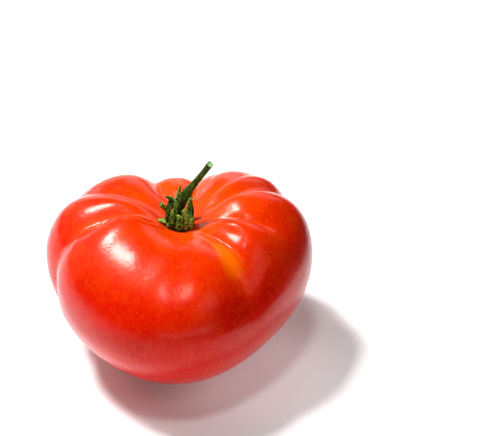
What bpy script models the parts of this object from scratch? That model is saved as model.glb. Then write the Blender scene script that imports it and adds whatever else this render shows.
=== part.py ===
"""Ribbed beefsteak tomato: fruit, calyx and stalk. Metres, +Z up, resting on z = 0."""
import math

import bmesh
import bpy
from mathutils import Vector

# Fruit: overall form
STEM_AXIS_X = 0.0009        # the stem axis, set so that the whole is centred on the origin
STEM_AXIS_Y = 0.0016
FRUIT_RADIUS = 0.0508       # at the widest level, before creases and lobes
WIDEST_HEIGHT = 0.0392      # height of the widest level above the blossom end
UPPER_HEIGHT = 0.0299       # rise of the shoulder above the widest level
UPPER_SQUARENESS = 2.6      # 2 is an ellipse, more is a flatter top with a rounder shoulder
LOWER_TAPER = 1.12          # 1 is an ellipse, more draws in towards the blossom end
SHOULDER_TILT = 0.14        # the shoulder stands higher at the back, as a share of its rise
REST_CUT = 0.0018           # depth pressed flat where the fruit rests
REST_BLEND = 0.0005         # half the height over which the flat turns into the curve
SCAR_RADIUS = 0.0050        # shallow dimple at the blossom end
SCAR_DEPTH = 0.0009

# Fruit: the hollow round the stem
DIP_DEPTH = 0.0122
DIP_WIDTH = 0.0179
# (waves round the axis, share of the width, azimuth of the crest in degrees)
DIP_WAVES = ((1, 0.23, 74.0), (2, 0.175, -80.0))

# Fruit: outline seen from above, as waves of the radius in the same form
OUTLINE_WAVES = ((1, 0.032, 131.0), (2, 0.042, 55.0), (3, 0.048, 38.0), (4, 0.015, -9.0))

# Creases: azimuth in degrees, depth as a share, width in degrees,
# angle from the stem axis where each one fades out and how softly it does so
CREASES = (
    (189, 0.21, 11, 112, 25),
    (156, 0.055, 8, 72, 20),
    (149, 0.015, 5, 66, 20),
    (109, 0.22, 11, 92, 25),
    (82, 0.24, 9, 88, 25),
    (69, 0.025, 6, 75, 20),
    (48, 0.05, 7, 85, 20),
    (31, 0.11, 9, 95, 25),
    (-11, 0.115, 7, 45, 15),
    (-46, 0.075, 5, 52, 20),
    (-55, 0.125, 11, 88, 30),
)
# Lobes that stand out, or in where the share is below zero: azimuth, share, width in degrees
LOBES = (
    (208, 0.12, 22),
    (172, 0.053, 12),
    (128, 0.04, 16),
    (95, -0.045, 10),
    (72, -0.03, 10),
    (44, 0.056, 8),
    (16, 0.077, 16),
    (-28, 0.067, 12),
    (-88, -0.02, 7),
    (252, -0.012, 8),
    (226, -0.006, 8),
)
CREASE_ROUNDING = 0.3       # how blunt the bottom of a crease is
CORE_RADIUS = 0.024         # creases and lobes pull towards this ring inside the flesh
CORE_HEIGHT = 0.0385
CREASE_START = (8.0, 28.0)  # angle from the stem axis over which creases set in
OUTLINE_START = (15.0, 60.0)
LOBE_END = (50.0, 95.0)

# Calyx: the green pad in the hollow
PAD_RADIUS = 0.0064
PAD_POINTS = 8
PAD_POINT_SHARE = 0.07
PAD_THICKNESS = 0.0019
PAD_EDGE = 0.0006
PAD_GAP = 0.0004            # clearance to the fruit
SEPAL_THICKNESS = 0.0007
ROOT_RISE = 0.0007          # height of a sepal's sunk root above the pad's underside

# Sepals, in millimetres from the stem axis: root on the pad, path to the tip, widths along it,
# half angle of the roll in radians (above zero it curls towards the stalk)
SEPALS = (
    ("rolled_stub", (-4.8, -2.0), ((-4.6, -2.6, 60.0), (-4.6, -3.1, 63.0), (-7.3, -4.0, 67.0)),
     (3.4, 4.0, 4.6, 4.4), 2.2),
    ("dark_left", (-5.2, 0.8), ((-4.9, 0.6, 60.5), (-4.5, 0.8, 64.0), (-3.9, 1.0, 66.8), (-5.6, 0.4, 68.2)),
     (3.4, 3.6, 3.4, 2.4, 1.0), 1.0),
    ("back_curl", (-2.6, 4.4), ((-2.4, 3.9, 61.0), (-2.4, 3.6, 64.6), (-2.8, 2.4, 67.0), (-1.6, 0.4, 65.8)),
     (3.0, 2.8, 2.2, 1.6, 1.0), 0.7),
    ("tall_left", (-2.0, -3.6), ((-1.9, -3.0, 60.0), (-1.6, -3.0, 66.0), (-0.6, -2.4, 70.5), (0.1, -1.9, 73.6)),
     (3.0, 2.4, 2.2, 2.0, 0.9), 0.6),
    ("short_left", (-3.4, -4.4), ((-3.1, -4.7, 60.0), (-2.7, -4.5, 63.2)),
     (2.6, 2.0, 1.2), 0.5),
    ("front", (-0.3, -5.2), ((-0.2, -5.4, 59.4), (0.2, -4.5, 62.9)),
     (3.8, 3.4, 2.8), 1.1),
    ("right_fold", (2.8, -4.8), ((2.9, -4.7, 60.2), (2.5, -4.2, 63.2), (1.1, -4.4, 65.0)),
     (3.6, 3.0, 2.4, 2.0), 0.9),
    ("right_strand", (3.9, -3.6), ((3.4, -3.8, 62.0), (2.9, -3.5, 65.6), (3.5, -3.4, 69.6)),
     (1.8, 1.3, 1.0, 0.9), 0.3),
    ("right_arc", (5.0, -1.2), ((4.8, -2.0, 61.8), (4.9, -2.4, 66.2), (4.0, -3.0, 69.0)),
     (2.8, 2.2, 1.6, 1.0), 0.6),
    ("back_right", (3.6, 3.6), ((3.9, 3.8, 60.6), (4.2, 3.9, 64.0), (5.4, 4.4, 66.0)),
     (3.2, 3.0, 2.2, 1.2), 0.9),
)
SEPAL_STEPS_ALONG = 9
SEPAL_STEPS_ACROSS = 4

# Stalk, in millimetres from the stem axis: centre points and radii from foot to cut end
STALK_POINTS = (
    ((0.1, 0.1, 58.2), 1.95),
    ((-0.1, 0.2, 60.4), 1.55),
    ((0.0, 0.2, 62.4), 1.40),
    ((0.6, 0.1, 64.6), 1.50),
    ((1.2, 0.1, 66.5), 1.65),
    ((1.9, -0.1, 68.4), 1.90),
    ((2.7, -0.4, 70.0), 2.00),
    ((3.5, -0.7, 71.4), 1.60),
    ((4.9, -1.4, 73.7), 1.30),
    ((8.2, -3.6, 79.5), 1.15),
    ((10.9, -5.4, 84.3), 1.20),
    ((11.5, -5.8, 85.3), 1.38),
)
STALK_STEPS = 3
STALK_SIDES = 5

# Mesh steps
PAD_STEPS_ROUND = 40
PAD_STEPS_DOWN = 8
FRUIT_STEPS_ROUND = 84
FRUIT_STEPS_DOWN = 42
POLE_CLUSTER = 0.25         # draws the rows of points towards both ends

MM = 0.001


def smooth_step(start, end, value):
    share = min(max((value - start) / (end - start), 0.0), 1.0)
    return share * share * (3.0 - 2.0 * share)


def waves(table, azimuth):
    """One plus a sum of waves round the axis."""
    total = 1.0
    for count, share, crest in table:
        total += share * math.cos(count * (azimuth - math.radians(crest)))
    return total


def angle_apart(azimuth_deg, centre_deg):
    return (azimuth_deg - centre_deg + 180.0) % 360.0 - 180.0


def hollow(azimuth, radius):
    """Depth of the hollow round the stem at a distance from the axis."""
    width = DIP_WIDTH * waves(DIP_WAVES, azimuth)
    return DIP_DEPTH * math.exp(-(radius / width) ** 2)


def upper_height(azimuth, sine):
    """Height of the upper half before creases, for the sine of the angle from the axis."""
    tilt = 1.0 + SHOULDER_TILT * math.sin(azimuth) * sine
    dome = UPPER_HEIGHT * tilt * math.sqrt(max(1.0 - sine ** UPPER_SQUARENESS, 0.0))
    return WIDEST_HEIGHT + dome - hollow(azimuth, FRUIT_RADIUS * sine)


def pull_in(azimuth, polar):
    """How far creases pull the skin in and lobes push it out, as a share."""
    azimuth_deg = math.degrees(azimuth)
    polar_deg = math.degrees(polar)
    total = 0.0
    for centre, depth, width, reach, softness in CREASES:
        x = angle_apart(azimuth_deg, centre) / width
        cut = math.exp(CREASE_ROUNDING - math.sqrt(x * x + CREASE_ROUNDING ** 2))
        total += depth * cut * (1.0 - smooth_step(reach - softness, reach + softness, polar_deg))
    for centre, share, width in LOBES:
        x = angle_apart(azimuth_deg, centre) / width
        total -= share * math.exp(-x * x) * (1.0 - smooth_step(*LOBE_END, polar_deg))
    return total * smooth_step(*CREASE_START, polar_deg)


def press_flat(height):
    """Nothing goes below the resting plane, and the curve runs into it softly."""
    if height > REST_BLEND:
        return height
    if height < -REST_BLEND:
        return 0.0
    return (height + REST_BLEND) ** 2 / (4.0 * REST_BLEND)


def fruit_point(azimuth, polar):
    """A point of the skin, from the azimuth and the angle from the stem axis."""
    sine = min(max(math.sin(polar), 0.0), 1.0)
    polar_deg = math.degrees(polar)
    if math.cos(polar) >= 0.0:
        radius = FRUIT_RADIUS * sine
        height = upper_height(azimuth, sine)
    else:
        radius = FRUIT_RADIUS * sine ** LOWER_TAPER
        height = WIDEST_HEIGHT * (1.0 + math.cos(polar))
    keep = 1.0 - pull_in(azimuth, polar)
    radius = CORE_RADIUS + (radius - CORE_RADIUS) * keep
    height = CORE_HEIGHT + (height - CORE_HEIGHT) * keep
    outline = waves(OUTLINE_WAVES, azimuth) - 1.0
    radius *= 1.0 + outline * smooth_step(*OUTLINE_START, polar_deg)
    height = press_flat(height - REST_CUT)
    if polar_deg > 90.0 and radius < SCAR_RADIUS:
        height += SCAR_DEPTH * (1.0 - (radius / SCAR_RADIUS) ** 2) ** 2
    return (STEM_AXIS_X + radius * math.cos(azimuth), STEM_AXIS_Y + radius * math.sin(azimuth), height)


def clear_scene():
    for item in list(bpy.data.objects):
        bpy.data.objects.remove(item, do_unlink=True)
    for group in list(bpy.data.collections):
        bpy.data.collections.remove(group)


def new_collection(name):
    group = bpy.data.collections.new(name)
    bpy.context.scene.collection.children.link(group)
    return group


def material(name, colour, roughness):
    made = bpy.data.materials.new(name)
    made.use_nodes = True
    shader = made.node_tree.nodes["Principled BSDF"]
    shader.inputs["Base Color"].default_value = (*colour, 1.0)
    shader.inputs["Roughness"].default_value = roughness
    shader.inputs["Metallic"].default_value = 0.0
    made.diffuse_color = (*colour, 1.0)
    return made


def mesh_object(name, form, group):
    mesh = bpy.data.meshes.new(name)
    bmesh.ops.recalc_face_normals(form, faces=form.faces)
    for face in form.faces:
        face.smooth = True
    form.to_mesh(mesh)
    form.free()
    item = bpy.data.objects.new(name, mesh)
    group.objects.link(item)
    return item


def apply_modifiers(item):
    """Turns the evaluated shape into the object's own mesh."""
    view = bpy.context.evaluated_depsgraph_get()
    finished = bpy.data.meshes.new_from_object(item.evaluated_get(view))
    item.modifiers.clear()
    item.data = finished


def build_fruit(group):
    form = bmesh.new()
    bmesh.ops.create_uvsphere(form, u_segments=FRUIT_STEPS_ROUND, v_segments=FRUIT_STEPS_DOWN, radius=1.0)
    for vertex in form.verts:
        azimuth = math.atan2(vertex.co.y, vertex.co.x)
        polar = math.acos(min(max(vertex.co.z, -1.0), 1.0))
        polar -= POLE_CLUSTER * math.sin(2.0 * polar)
        vertex.co = fruit_point(azimuth, polar)
    bmesh.ops.triangulate(form, faces=form.faces)
    return mesh_object("fruit", form, group)


def pad_base(azimuth, radius):
    """Height of the pad's underside, which clears the skin by the gap."""
    return upper_height(azimuth, radius / FRUIT_RADIUS) - REST_CUT + PAD_GAP


def build_pad(group):
    """The green disc that lies in the hollow, its underside following the skin."""
    form = bmesh.new()
    bmesh.ops.create_uvsphere(form, u_segments=PAD_STEPS_ROUND, v_segments=PAD_STEPS_DOWN, radius=1.0)
    for vertex in form.verts:
        level = vertex.co.z
        share = min(math.hypot(vertex.co.x, vertex.co.y), 1.0)
        azimuth = math.atan2(vertex.co.y, vertex.co.x)
        radius = PAD_RADIUS * share * (1.0 + PAD_POINT_SHARE * share * math.cos(PAD_POINTS * azimuth))
        base = pad_base(azimuth, radius)
        if level >= 0.0:
            height = base + PAD_EDGE + (PAD_THICKNESS - PAD_EDGE) * level
        else:
            height = base + PAD_EDGE * (1.0 + level) ** 2
        vertex.co = (STEM_AXIS_X + radius * math.cos(azimuth), STEM_AXIS_Y + radius * math.sin(azimuth), height)
    bmesh.ops.triangulate(form, faces=form.faces)
    return mesh_object("calyx", form, group)


def along(points, share):
    """A smooth line through the points, at a share of the way from first to last."""
    last = len(points) - 1
    place = min(share * last, last - 1e-6)
    index = int(place)
    t = place - index
    before = points[max(index - 1, 0)]
    start = points[index]
    end = points[index + 1]
    after = points[min(index + 2, last)]
    result = []
    for a, b, c, d in zip(before, start, end, after):
        value = 2.0 * b + (c - a) * t
        value += (2.0 * a - 5.0 * b + 4.0 * c - d) * t * t
        value += (3.0 * b - a - 3.0 * c + d) * t * t * t
        result.append(0.5 * value)
    return Vector(result)


def build_sepal(name, root, path, widths, roll, group):
    """A thin leaf on a path, rolled across its width and given its thickness."""
    form = bmesh.new()
    bmesh.ops.create_grid(form, x_segments=SEPAL_STEPS_ACROSS, y_segments=SEPAL_STEPS_ALONG, size=1.0)
    width_points = [(width, 0.0, 0.0) for width in widths]
    stalk = Vector((STEM_AXIS_X, STEM_AXIS_Y, 0.0))
    root_height = pad_base(math.atan2(root[1], root[0]), math.hypot(*root) * MM) + ROOT_RISE
    path = ((*root, root_height / MM),) + path
    inward = Vector((-root[0], -root[1], 0.0)).normalized()
    level_side = Vector((0.0, 0.0, 1.0)).cross(inward)
    for vertex in form.verts:
        across = vertex.co.x
        share = (vertex.co.y + 1.0) / 2.0
        centre = along(path, share)
        ahead = along(path, min(share + 0.02, 1.0)) - along(path, max(share - 0.02, 0.0))
        ahead.normalize()
        side = (level_side - ahead * level_side.dot(ahead)).normalized()
        face = side.cross(ahead)
        half_width = along(width_points, share).x / 2.0
        bend = roll * across
        point = centre + side * (half_width * math.sin(bend) / roll)
        point += face * (half_width * (1.0 - math.cos(bend)) / roll)
        vertex.co = point * MM + stalk
    bmesh.ops.triangulate(form, faces=form.faces)
    item = mesh_object(name, form, group)
    solid = item.modifiers.new("thickness", "SOLIDIFY")
    solid.thickness = SEPAL_THICKNESS
    solid.offset = 0.0
    apply_modifiers(item)
    return item


def build_calyx(group, helpers):
    """The pad with every sepal joined to it as one solid."""
    pad = build_pad(group)
    for name, root, path, widths, roll in SEPALS:
        build_sepal(name, root, path, widths, roll, helpers)
    union = pad.modifiers.new("sepals", "BOOLEAN")
    union.operation = "UNION"
    union.solver = "EXACT"
    union.operand_type = "COLLECTION"
    union.collection = helpers
    union.use_self = True
    apply_modifiers(pad)
    for item in list(helpers.objects):
        bpy.data.objects.remove(item, do_unlink=True)
    for face in pad.data.polygons:
        face.use_smooth = True
    return pad


def build_stalk(group):
    line = bpy.data.curves.new("stalk_line", "CURVE")
    line.dimensions = "3D"
    line.resolution_u = STALK_STEPS
    line.bevel_depth = MM
    line.bevel_resolution = STALK_SIDES
    line.use_fill_caps = True
    spline = line.splines.new("BEZIER")
    spline.bezier_points.add(len(STALK_POINTS) - 1)
    for knot, (place, radius) in zip(spline.bezier_points, STALK_POINTS):
        knot.co = Vector(place) * MM + Vector((STEM_AXIS_X, STEM_AXIS_Y, 0.0))
        knot.radius = radius
        knot.handle_left_type = "AUTO"
        knot.handle_right_type = "AUTO"
    carrier = bpy.data.objects.new("stalk_line", line)
    group.objects.link(carrier)
    bpy.context.view_layer.update()
    view = bpy.context.evaluated_depsgraph_get()
    tube = bpy.data.meshes.new_from_object(carrier.evaluated_get(view))
    tube.transform(carrier.matrix_world)
    form = bmesh.new()
    form.from_mesh(tube)
    bmesh.ops.remove_doubles(form, verts=form.verts, dist=0.00001)
    bmesh.ops.triangulate(form, faces=form.faces)
    bpy.data.objects.remove(carrier, do_unlink=True)
    bpy.data.meshes.remove(tube)
    return mesh_object("stalk", form, group)


def main():
    clear_scene()
    group = new_collection("tomato")
    helpers = new_collection("cutters")
    skin = material("skin", (0.72, 0.035, 0.008), 0.22)
    leaf = material("leaf", (0.06, 0.12, 0.012), 0.65)
    stem = material("stem", (0.05, 0.13, 0.014), 0.6)
    fruit = build_fruit(group)
    fruit.data.materials.append(skin)
    calyx = build_calyx(group, helpers)
    calyx.data.materials.clear()
    calyx.data.materials.append(leaf)
    stalk = build_stalk(group)
    stalk.data.materials.clear()
    stalk.data.materials.append(stem)


main()
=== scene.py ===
"""Ribbed beefsteak tomato: the finished fruit, calyx and stalk, with floor, soft light and camera."""
import math
import random

import bmesh
import bpy
from mathutils import Matrix, Vector, noise


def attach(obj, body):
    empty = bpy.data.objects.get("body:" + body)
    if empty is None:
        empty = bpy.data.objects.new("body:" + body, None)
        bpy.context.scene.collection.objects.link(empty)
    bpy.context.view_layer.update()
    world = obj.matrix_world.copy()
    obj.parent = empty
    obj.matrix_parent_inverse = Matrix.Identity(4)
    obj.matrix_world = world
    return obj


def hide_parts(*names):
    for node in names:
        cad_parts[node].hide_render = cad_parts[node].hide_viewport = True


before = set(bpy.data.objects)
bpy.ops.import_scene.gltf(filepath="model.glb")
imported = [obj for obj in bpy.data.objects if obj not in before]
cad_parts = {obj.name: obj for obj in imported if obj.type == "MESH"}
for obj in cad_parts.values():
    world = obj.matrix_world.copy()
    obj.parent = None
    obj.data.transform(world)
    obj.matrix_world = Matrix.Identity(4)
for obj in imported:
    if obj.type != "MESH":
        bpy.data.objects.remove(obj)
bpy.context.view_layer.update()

MM = 0.001
STEM_AXIS = Vector((0.0009, 0.0016, 0.0))

# Fruit form, in metres, shares and degrees
FRUIT_SIZES = {
    "Radius": 0.0508,
    "Widest Height": 0.0392,
    "Upper Height": 0.0299,
    "Upper Squareness": 2.6,
    "Lower Taper": 1.12,
    "Shoulder Tilt": 0.14,
    "Rest Cut": 0.0018,
    "Rest Blend": 0.0005,
    "Scar Radius": 0.0050,
    "Scar Depth": 0.0009,
    "Dip Depth": 0.0122,
    "Dip Width": 0.0179,
    "Core Radius": 0.024,
    "Core Height": 0.0385,
    "Crease Rounding": 0.3,
    "Skin Waviness": 0.00012,
}
DIP_WAVES = ((1, 0.23, 74.0), (2, 0.175, -80.0))
OUTLINE_WAVES = ((1, 0.032, 131.0), (2, 0.042, 55.0), (3, 0.048, 38.0), (4, 0.015, -9.0))
# azimuth, depth, width, angle from the stem where it fades, softness of the fade
CREASES = (
    (189, 0.21, 11, 112, 25),
    (156, 0.055, 8, 72, 20),
    (149, 0.015, 5, 66, 20),
    (109, 0.22, 11, 92, 25),
    (82, 0.24, 9, 88, 25),
    (69, 0.025, 6, 75, 20),
    (48, 0.05, 7, 85, 20),
    (31, 0.11, 9, 95, 25),
    (-11, 0.115, 6, 45, 15),
    (-46, 0.075, 3.5, 52, 20),
    (-55, 0.125, 11, 88, 30),
)
# azimuth, share, width
LOBES = (
    (208, 0.12, 22),
    (172, 0.053, 12),
    (128, 0.04, 16),
    (95, -0.045, 10),
    (72, -0.03, 10),
    (44, 0.056, 8),
    (16, 0.077, 16),
    (-28, 0.067, 12),
    (-88, -0.02, 7),
    (252, -0.012, 8),
    (226, -0.006, 8),
)

# Slanting folds: azimuths at start, middle and end, angles from the stem where they start and end,
# rise on one side and fall on the other in millimetres, width in millimetres
FOLDS = (
    (-126, -149, -172, 12, 37, 0.55, 0.85, 0.95),
    (-172, -164, -176, 38, 100, 0.22, 0.25, 1.3),
)
# Gentle swells: azimuth, angle from the stem, height in millimetres, width round and width down
SWELLS = (
    (-134, 13.5, 0.90, 14, 3.2),
    (-108, 10.5, 0.90, 16, 3.0),
    (-82, 11, 0.90, 16, 3.0),
    (-60, 10.5, 0.70, 12, 3.0),
    (180, 30, -0.35, 18, 10),
    (178, 49, 0.4, 18, 10),
    (163, 53, 1.0, 26, 13),
    (-38, 30, -0.9, 6, 8),
    (-45, 37, 0.2, 8, 8),
    (-2, 20, -0.4, 10, 8),
    (-9, 31, 0.5, 9, 8),
    (-3, 25, 0.2, 9, 5),
    (-115, 38, 0.4, 11, 10),
    (-92, 53, -0.35, 9, 10),
    (-77, 60, 0.2, 12, 10),
)

PAD_RADIUS = 0.0064
PAD_POINTS = 8
PAD_THICKNESS = 0.0019
PAD_EDGE = 0.0005
PAD_GAP = 0.0004
ROOT_RISE = 0.0007

# Sepals in millimetres from the stem axis: root, path, widths, roll, and how pale base and tip are; the darker roots
# and the darkest sepals are in part painted shade among the sepals
SEPALS = (
    ("rolled_stub", (-5.0, -2.2), ((-5.0, -2.6, 60.0), (-4.8, -3.1, 63.2), (-7.2, -3.9, 66.9)),
     (3.6, 3.6, 3.2, 3.0), 2.3, 0.15, 0.45),
    ("dark_left", (-5.4, 0.6), ((-5.2, 0.6, 60.3), (-4.6, 0.8, 63.6), (-3.8, 1.0, 66.2), (-5.2, 0.4, 67.8)),
     (3.8, 4.2, 4.0, 2.2, 0.7), 1.2, -0.25, -0.20),
    ("back_curl", (-2.6, 4.4), ((-2.4, 3.9, 61.0), (-2.6, 3.4, 64.4), (-3.2, 1.8, 67.0), (-1.2, -0.9, 65.9)),
     (3.0, 2.8, 2.0, 1.0, 0.7), 0.7, 0.10, 0.95),
    ("tall_left", (-2.2, -4.0), ((-2.2, -3.6, 60.4), (-1.6, -3.1, 65.8), (-0.5, -2.2, 70.2), (0.3, -1.4, 73.6)),
     (3.2, 2.8, 2.4, 2.0, 0.6), 0.9, 0.00, 0.50),
    ("short_left", (-3.6, -4.8), ((-3.4, -5.2, 59.6), (-2.8, -4.8, 63.9)),
     (3.4, 3.0, 1.6), 0.8, 0.10, 0.55),
    ("front", (-0.4, -5.9), ((-0.3, -6.3, 58.8), (0.3, -5.0, 63.1)),
     (4.2, 3.9, 3.1), 1.3, 0.05, 0.80),
    ("right_fold", (3.0, -5.2), ((3.2, -5.3, 59.6), (2.8, -4.6, 62.8), (1.3, -4.6, 65.0)),
     (4.0, 3.4, 2.8, 2.2), 1.0, 0.30, 1.05),
    ("right_strand", (4.3, -3.8), ((3.2, -3.9, 62.2), (2.8, -3.6, 65.7), (3.9, -3.3, 69.4)),
     (2.0, 1.3, 1.0, 0.8), 0.3, 0.30, 0.80),
    ("right_arc", (4.4, -2.2), ((4.6, -2.8, 60.4), (4.9, -3.1, 65.0), (4.0, -3.2, 68.6)),
     (2.6, 1.6, 1.4, 0.6), 0.7, 0.30, -0.10),
    ("back_right", (3.6, 3.6), ((3.9, 3.8, 60.6), (4.0, 3.9, 63.6), (4.4, 4.2, 65.4)),
     (3.2, 3.0, 2.2, 1.2), 0.9, 0.20, 0.25),
    ("left_flap", (-5.2, -1.8), ((-6.6, -2.2, 58.9), (-8.0, -2.5, 59.6)),
     (3.2, 2.6, 1.0), 0.5, 0.95, 1.10),
    ("bright_scrap", (-2.8, -4.2), ((-2.9, -4.4, 61.6), (-2.5, -4.4, 65.2)),
     (1.4, 1.5, 0.8), 0.6, 0.80, 1.15),
    ("right_flap", (3.8, -4.4), ((4.2, -5.0, 59.2), (4.6, -5.0, 61.8)),
     (2.6, 2.4, 1.0), 0.6, 0.80, 0.95),
    ("inner_dark", (-3.4, 1.6), ((-3.2, 1.2, 61.6), (-2.4, 0.8, 65.0), (-3.0, -0.6, 67.4)),
     (3.4, 3.4, 2.4, 0.8), 1.1, -0.30, -0.20),
)
SEPAL_ALONG = 40
SEPAL_ACROSS = 12

# Stalk: centre points and radii in millimetres
STALK_POINTS = (
    ((0.1, 0.1, 58.0), 1.95),
    ((-0.1, 0.2, 60.4), 1.55),
    ((0.0, 0.2, 62.4), 1.40),
    ((0.6, 0.1, 64.6), 1.50),
    ((1.2, 0.1, 66.5), 1.65),
    ((1.9, -0.1, 68.4), 1.90),
    ((2.7, -0.4, 70.0), 2.00),
    ((3.5, -0.7, 71.4), 1.60),
    ((4.9, -1.4, 73.7), 1.30),
    ((8.2, -3.6, 79.5), 1.15),
    ((10.9, -5.4, 84.3), 1.20),
    ((11.5, -5.8, 85.3), 1.38),
)
STALK_RINGS = 200
STALK_SIDES = 60

# Photograph's view
IMAGE_WIDTH = 500
IMAGE_HEIGHT = 436
FOCAL_PIXELS = 1869.0
CAMERA_DISTANCE = 0.7
CAMERA_ELEVATION = 32.0
AIM_HEIGHT = 0.038
AIM_PIXEL = (181.4, 265.3)


# Small helpers for node trees

def put(tree, socket, thing):
    """Links a socket to another, or sets its value."""
    if isinstance(thing, bpy.types.NodeSocket):
        tree.links.new(thing, socket)
    else:
        socket.default_value = thing


def calc(tree, operation, *values):
    node = tree.nodes.new("ShaderNodeMath")
    node.operation = operation
    for socket, thing in zip(node.inputs, values):
        put(tree, socket, thing)
    return node.outputs[0]


def fade(tree, value, start, end, first=0.0, last=1.0):
    """A smooth step from first to last between start and end."""
    node = tree.nodes.new("ShaderNodeMapRange")
    node.interpolation_type = "SMOOTHSTEP"
    for name, thing in (("Value", value), ("From Min", start), ("From Max", end),
                        ("To Min", first), ("To Max", last)):
        put(tree, node.inputs[name], thing)
    return node.outputs["Result"]


def new_rule(name, inputs, outputs):
    """A geometry node group with named inputs and outputs, and its two end nodes."""
    tree = bpy.data.node_groups.new(name, "GeometryNodeTree")
    for label, kind in inputs:
        tree.interface.new_socket(label, in_out="INPUT", socket_type=kind)
    for label, kind in outputs:
        tree.interface.new_socket(label, in_out="OUTPUT", socket_type=kind)
    return tree, tree.nodes.new("NodeGroupInput").outputs, tree.nodes.new("NodeGroupOutput").inputs


def use_rule(tree, rule, **values):
    node = tree.nodes.new("GeometryNodeGroup")
    node.node_tree = rule
    for name, thing in values.items():
        put(tree, node.inputs[name.replace("_", " ").title()], thing)
    return node.outputs[0]


def angle_from(tree, azimuth, centre):
    """Signed difference of two azimuths in degrees."""
    return calc(tree, "WRAP", calc(tree, "SUBTRACT", azimuth, centre), 180.0, -180.0)


# Rules of the fruit's form

FLOAT = "NodeSocketFloat"


def crease_rule():
    """How far one crease pulls the skin in at an azimuth and an angle from the stem."""
    names = ("Azimuth", "Polar", "Centre", "Depth", "Width", "Reach", "Softness", "Rounding")
    tree, given, result = new_rule("crease_rule", [(n, FLOAT) for n in names], [("Pull", FLOAT)])
    x = calc(tree, "DIVIDE", angle_from(tree, given["Azimuth"], given["Centre"]), given["Width"])
    rounding = given["Rounding"]
    blunt = calc(tree, "SQRT", calc(tree, "ADD", calc(tree, "MULTIPLY", x, x), calc(tree, "MULTIPLY", rounding, rounding)))
    cut = calc(tree, "EXPONENT", calc(tree, "SUBTRACT", rounding, blunt))
    start = calc(tree, "SUBTRACT", given["Reach"], given["Softness"])
    end = calc(tree, "ADD", given["Reach"], given["Softness"])
    shown = fade(tree, given["Polar"], start, end, 1.0, 0.0)
    put(tree, result["Pull"], calc(tree, "MULTIPLY", calc(tree, "MULTIPLY", given["Depth"], cut), shown))
    return tree


def lobe_rule():
    """How far one lobe stands out at an azimuth and an angle from the stem."""
    names = ("Azimuth", "Polar", "Centre", "Share", "Width")
    tree, given, result = new_rule("lobe_rule", [(n, FLOAT) for n in names], [("Push", FLOAT)])
    x = calc(tree, "DIVIDE", angle_from(tree, given["Azimuth"], given["Centre"]), given["Width"])
    bell = calc(tree, "EXPONENT", calc(tree, "MULTIPLY", calc(tree, "MULTIPLY", x, x), -1.0))
    shown = fade(tree, given["Polar"], 50.0, 95.0, 1.0, 0.0)
    put(tree, result["Push"], calc(tree, "MULTIPLY", calc(tree, "MULTIPLY", given["Share"], bell), shown))
    return tree


def swell_rule():
    """Height of one gentle swell of the skin."""
    names = ("Azimuth", "Polar", "Centre", "Middle", "Height", "Width", "Drop")
    tree, given, result = new_rule("swell_rule", [(n, FLOAT) for n in names], [("Rise", FLOAT)])
    x = calc(tree, "DIVIDE", angle_from(tree, given["Azimuth"], given["Centre"]), given["Width"])
    y = calc(tree, "DIVIDE", calc(tree, "SUBTRACT", given["Polar"], given["Middle"]), given["Drop"])
    apart = calc(tree, "MULTIPLY_ADD", x, x, calc(tree, "MULTIPLY", y, y))
    bell = calc(tree, "EXPONENT", calc(tree, "MULTIPLY", apart, -1.0))
    put(tree, result["Rise"], calc(tree, "MULTIPLY", given["Height"], bell))
    return tree


def sum_swells(tree, azimuth, polar):
    rule = swell_rule()
    total = 0.0
    for centre, middle, height, width, drop in SWELLS:
        one = use_rule(tree, rule, azimuth=azimuth, polar=polar, centre=float(centre), middle=float(middle),
                       height=height * MM, width=float(width), drop=float(drop))
        total = calc(tree, "ADD", one, total)
    return total


def fold_rule():
    """Height of one slanting fold, raised on its one side and sunk on its other."""
    names = ("Azimuth", "Polar", "Start", "Middle", "End", "Begin", "Finish", "Rise", "Fall", "Width")
    tree, given, result = new_rule("fold_rule", [(n, FLOAT) for n in names], [("Rise", FLOAT)])
    share = fade_between(tree, given["Polar"], given["Begin"], given["Finish"])
    rest = calc(tree, "SUBTRACT", 1.0, share)
    twice = calc(tree, "MULTIPLY", share, 2.0)
    first = calc(tree, "MULTIPLY", rest, calc(tree, "SUBTRACT", 1.0, twice))
    second = calc(tree, "MULTIPLY", calc(tree, "MULTIPLY", share, rest), 4.0)
    third = calc(tree, "MULTIPLY", share, calc(tree, "SUBTRACT", twice, 1.0))
    line = calc(tree, "MULTIPLY", given["Start"], first)
    line = calc(tree, "MULTIPLY_ADD", given["Middle"], second, line)
    line = calc(tree, "MULTIPLY_ADD", given["End"], third, line)
    round_about = calc(tree, "MULTIPLY", calc(tree, "SINE", calc(tree, "RADIANS", given["Polar"])), FRUIT_SIZES["Radius"])
    side = calc(tree, "RADIANS", angle_from(tree, given["Azimuth"], line))
    x = calc(tree, "DIVIDE", calc(tree, "MULTIPLY", side, round_about), given["Width"])
    up = calc(tree, "MULTIPLY", given["Rise"], bell_of(tree, calc(tree, "SUBTRACT", x, 0.8)))
    down = calc(tree, "MULTIPLY", given["Fall"], bell_of(tree, calc(tree, "ADD", x, 0.8)))
    ends = calc(tree, "MULTIPLY", fade(tree, share, 0.0, 0.22), fade(tree, share, 0.82, 1.0, 1.0, 0.0))
    put(tree, result["Rise"], calc(tree, "MULTIPLY", calc(tree, "SUBTRACT", up, down), ends))
    return tree


def bell_of(tree, x):
    return calc(tree, "EXPONENT", calc(tree, "MULTIPLY", calc(tree, "MULTIPLY", x, x), -1.0))


def fade_between(tree, value, start, end):
    """Share of the way from start to end, kept between 0 and 1."""
    share = calc(tree, "DIVIDE", calc(tree, "SUBTRACT", value, start), calc(tree, "SUBTRACT", end, start))
    return calc(tree, "MINIMUM", calc(tree, "MAXIMUM", share, 0.0), 1.0)


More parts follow.
